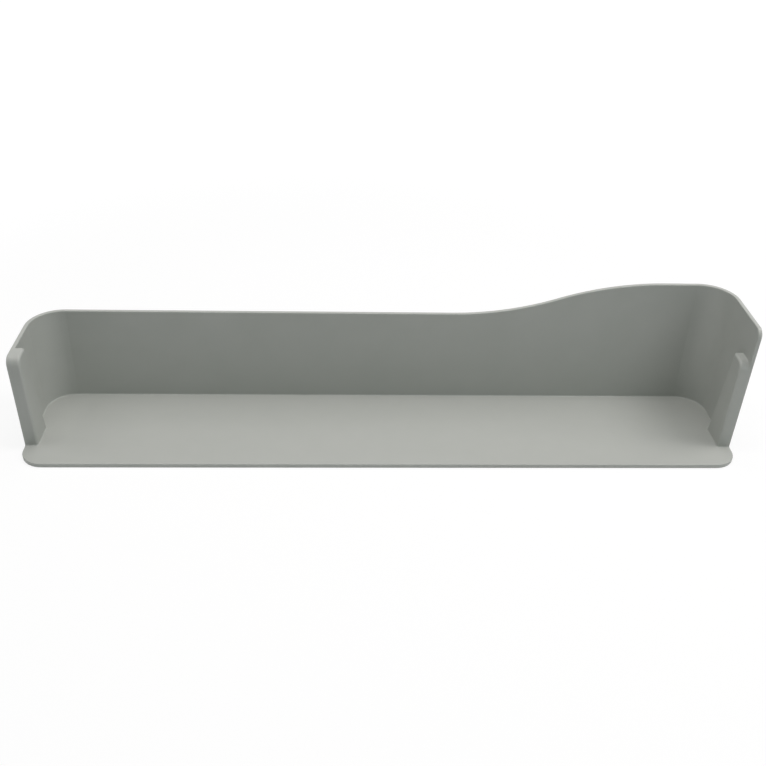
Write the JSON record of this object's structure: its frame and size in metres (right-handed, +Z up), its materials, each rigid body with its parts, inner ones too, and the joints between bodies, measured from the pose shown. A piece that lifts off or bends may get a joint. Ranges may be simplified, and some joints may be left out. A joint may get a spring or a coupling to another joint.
{
  "type": "fridge door shelf",
  "caption": "Moulded plastic fridge door shelf with a flat floor, a front tongue, a back wall whose top edge swells at one end, and end walls with thick front ribs.",
  "frame": {"origin": "centre of the bounding box, at the level of the underside", "axes": "+X along the shelf towards its high end, +Y from the door into the fridge, so the back wall is at +Y and the tongue at -Y, +Z up"},
  "size_m": [0.4426, 0.0796, 0.0874],
  "materials": {
    "grey_plastic": "moulded, satin, slightly greenish light grey"
  },
  "bodies": {
    "root": {"door_shelf": "grey_plastic"}
  },
  "joints": []
}
